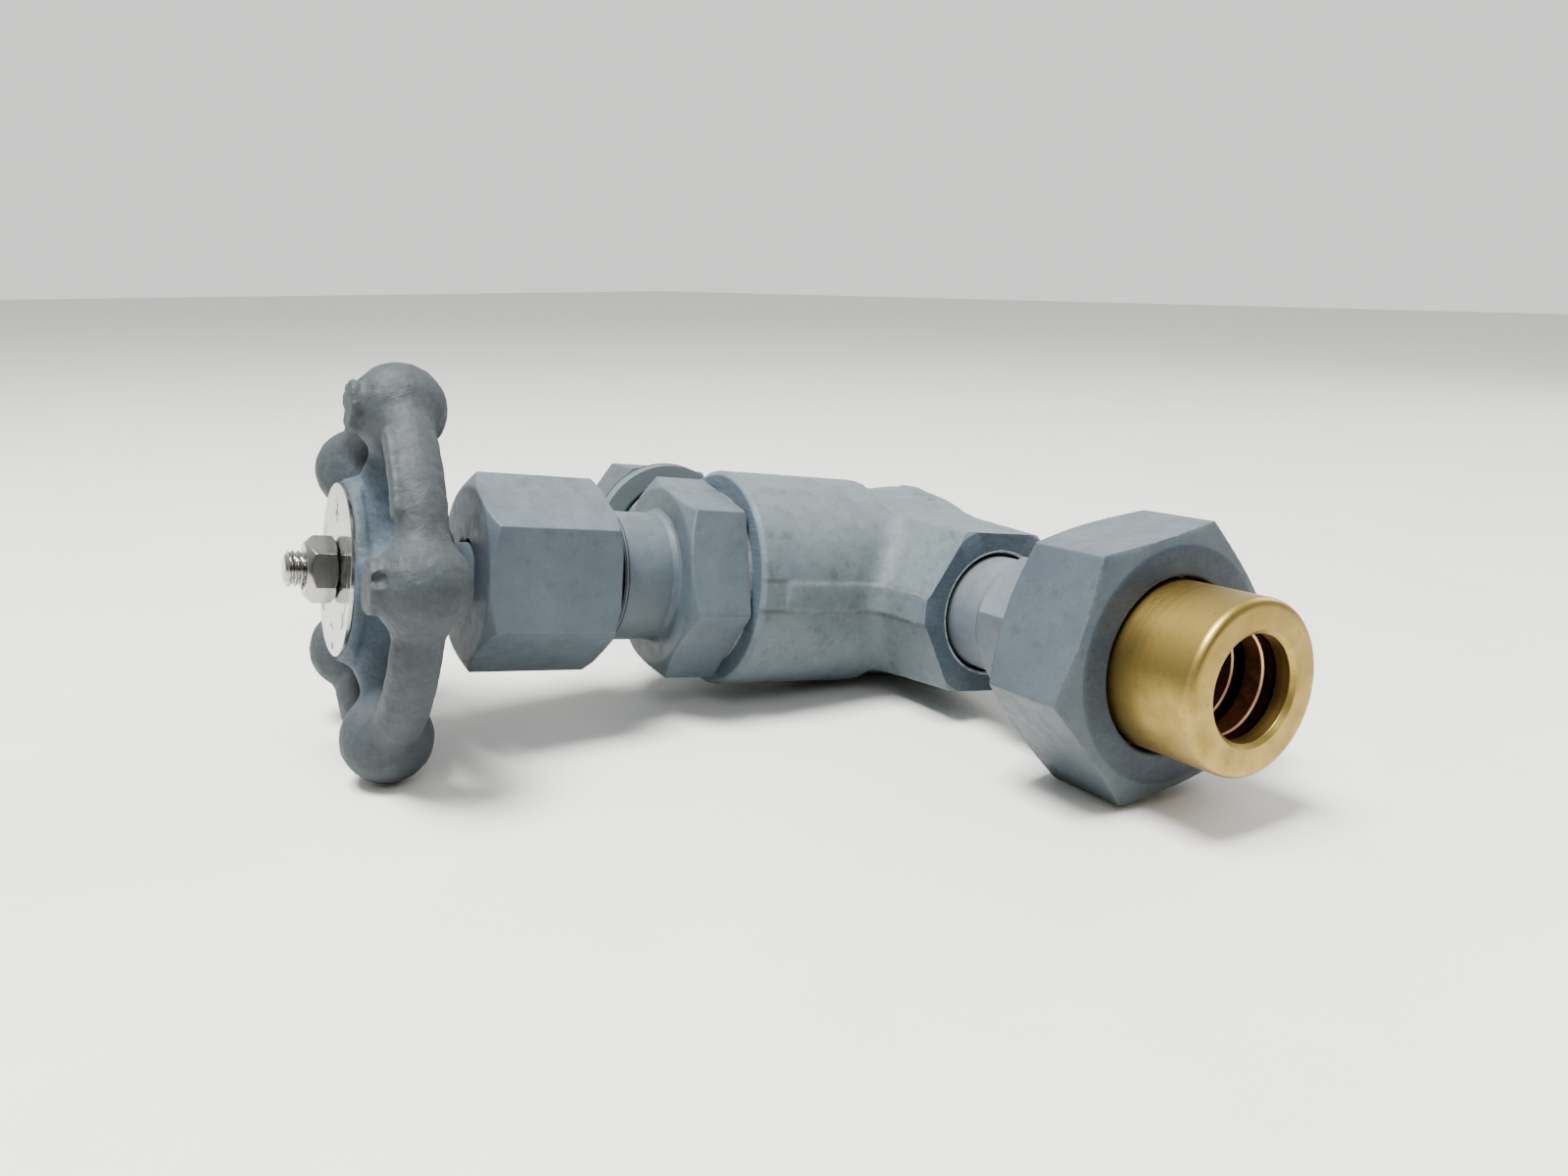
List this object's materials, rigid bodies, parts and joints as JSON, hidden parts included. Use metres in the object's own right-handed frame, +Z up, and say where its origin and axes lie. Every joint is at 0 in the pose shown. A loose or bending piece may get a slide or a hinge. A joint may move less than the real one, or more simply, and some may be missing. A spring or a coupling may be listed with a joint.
{
  "type": "flow control valve",
  "caption": "Screw-down flow control valve with forged body, five-spoke handwheel, gland nut and union ends with brazed tube sockets.",
  "frame": {"origin": "centre of the front tube socket where its straight wall starts, just inside the mouth", "axes": "+Y from the front socket to the rear one along the flow, -X along the spindle to the handwheel, +Z up"},
  "size_m": [0.1905, 0.244, 0.0913],
  "materials": {
    "body_paint": "satin blue-grey paint on steel",
    "wheel_paint": "satin blue-grey paint on cast iron",
    "adapter_paint": "thin light grey paint on steel",
    "stainless": "machined stainless steel",
    "plate": "polished, lightly brushed",
    "brass": "turned, slightly tarnished",
    "braze": "copper-coloured brazing alloy",
    "gasket": "dull",
    "seal": "matt black",
    "graphite": "matt graphite packing"
  },
  "bodies": {
    "valve": {"valve_body": "body_paint", "seat_ring": "stainless", "bonnet": "body_paint", "bonnet_gasket": "gasket", "packing_washer": "stainless", "packing_rings": "graphite", "union_adapter_front": "adapter_paint", "union_adapter_rear": "adapter_paint", "port_seal_front": "seal", "port_seal_rear": "seal", "union_seal_front": "seal", "union_seal_rear": "seal"},
    "plug": {"regulating_plug": "stainless", "plug_retainer": "stainless"},
    "handwheel": {"spindle": "stainless", "handwheel": "wheel_paint", "nameplate": "plate", "spindle_nut": "stainless"},
    "gland_follower": {"gland_follower": "brass"},
    "gland_nut": {"gland_nut": "body_paint"},
    "tailpiece_front": {"tailpiece_front": "brass", "brazing_rings_front": "braze"},
    "union_nut_front": {"union_nut_front": "body_paint"},
    "tailpiece_rear": {"tailpiece_rear": "brass", "brazing_rings_rear": "braze"},
    "union_nut_rear": {"union_nut_rear": "body_paint"}
  },
  "joints": [
    {"name": "spindle_rise", "type": "slide", "parent": "valve", "child": "plug", "axis": [-1, 0, 0], "range_m": [0, 0.008]},
    {"name": "handwheel_turn", "type": "hinge", "parent": "plug", "child": "handwheel", "pos_m": [0, 0.1252, 0], "axis": [-1, 0, 0], "range_deg": [0, 1440]},
    {"name": "follower_slide", "type": "slide", "parent": "valve", "child": "gland_follower", "axis": [-1, 0, 0], "range_m": [0, 0.00225]},
    {"name": "gland_nut_turn", "type": "hinge", "parent": "gland_follower", "child": "gland_nut", "pos_m": [0, 0.1252, 0], "axis": [-1, 0, 0], "range_deg": [0, 540]},
    {"name": "tailpiece_front_slide", "type": "slide", "parent": "valve", "child": "tailpiece_front", "axis": [0, -1, 0], "range_m": [0, 0.01]},
    {"name": "union_nut_front_turn", "type": "hinge", "parent": "tailpiece_front", "child": "union_nut_front", "pos_m": [0, 0, 0], "axis": [0, -1, 0], "range_deg": [0, 1800]},
    {"name": "tailpiece_rear_slide", "type": "slide", "parent": "valve", "child": "tailpiece_rear", "axis": [0, 1, 0], "range_m": [0, 0.01]},
    {"name": "union_nut_rear_turn", "type": "hinge", "parent": "tailpiece_rear", "child": "union_nut_rear", "pos_m": [-0.033, 0.2432, 0], "axis": [0, 1, 0], "range_deg": [0, 1800]}
  ],
  "couplings": [
    {"joint": "spindle_rise", "follows": "handwheel_turn", "m_per_rad": 0.00031831},
    {"joint": "follower_slide", "follows": "gland_nut_turn", "m_per_rad": 0.00023873},
    {"joint": "tailpiece_front_slide", "follows": "union_nut_front_turn", "m_per_rad": 0.00031831},
    {"joint": "tailpiece_rear_slide", "follows": "union_nut_rear_turn", "m_per_rad": 0.00031831}
  ]
}
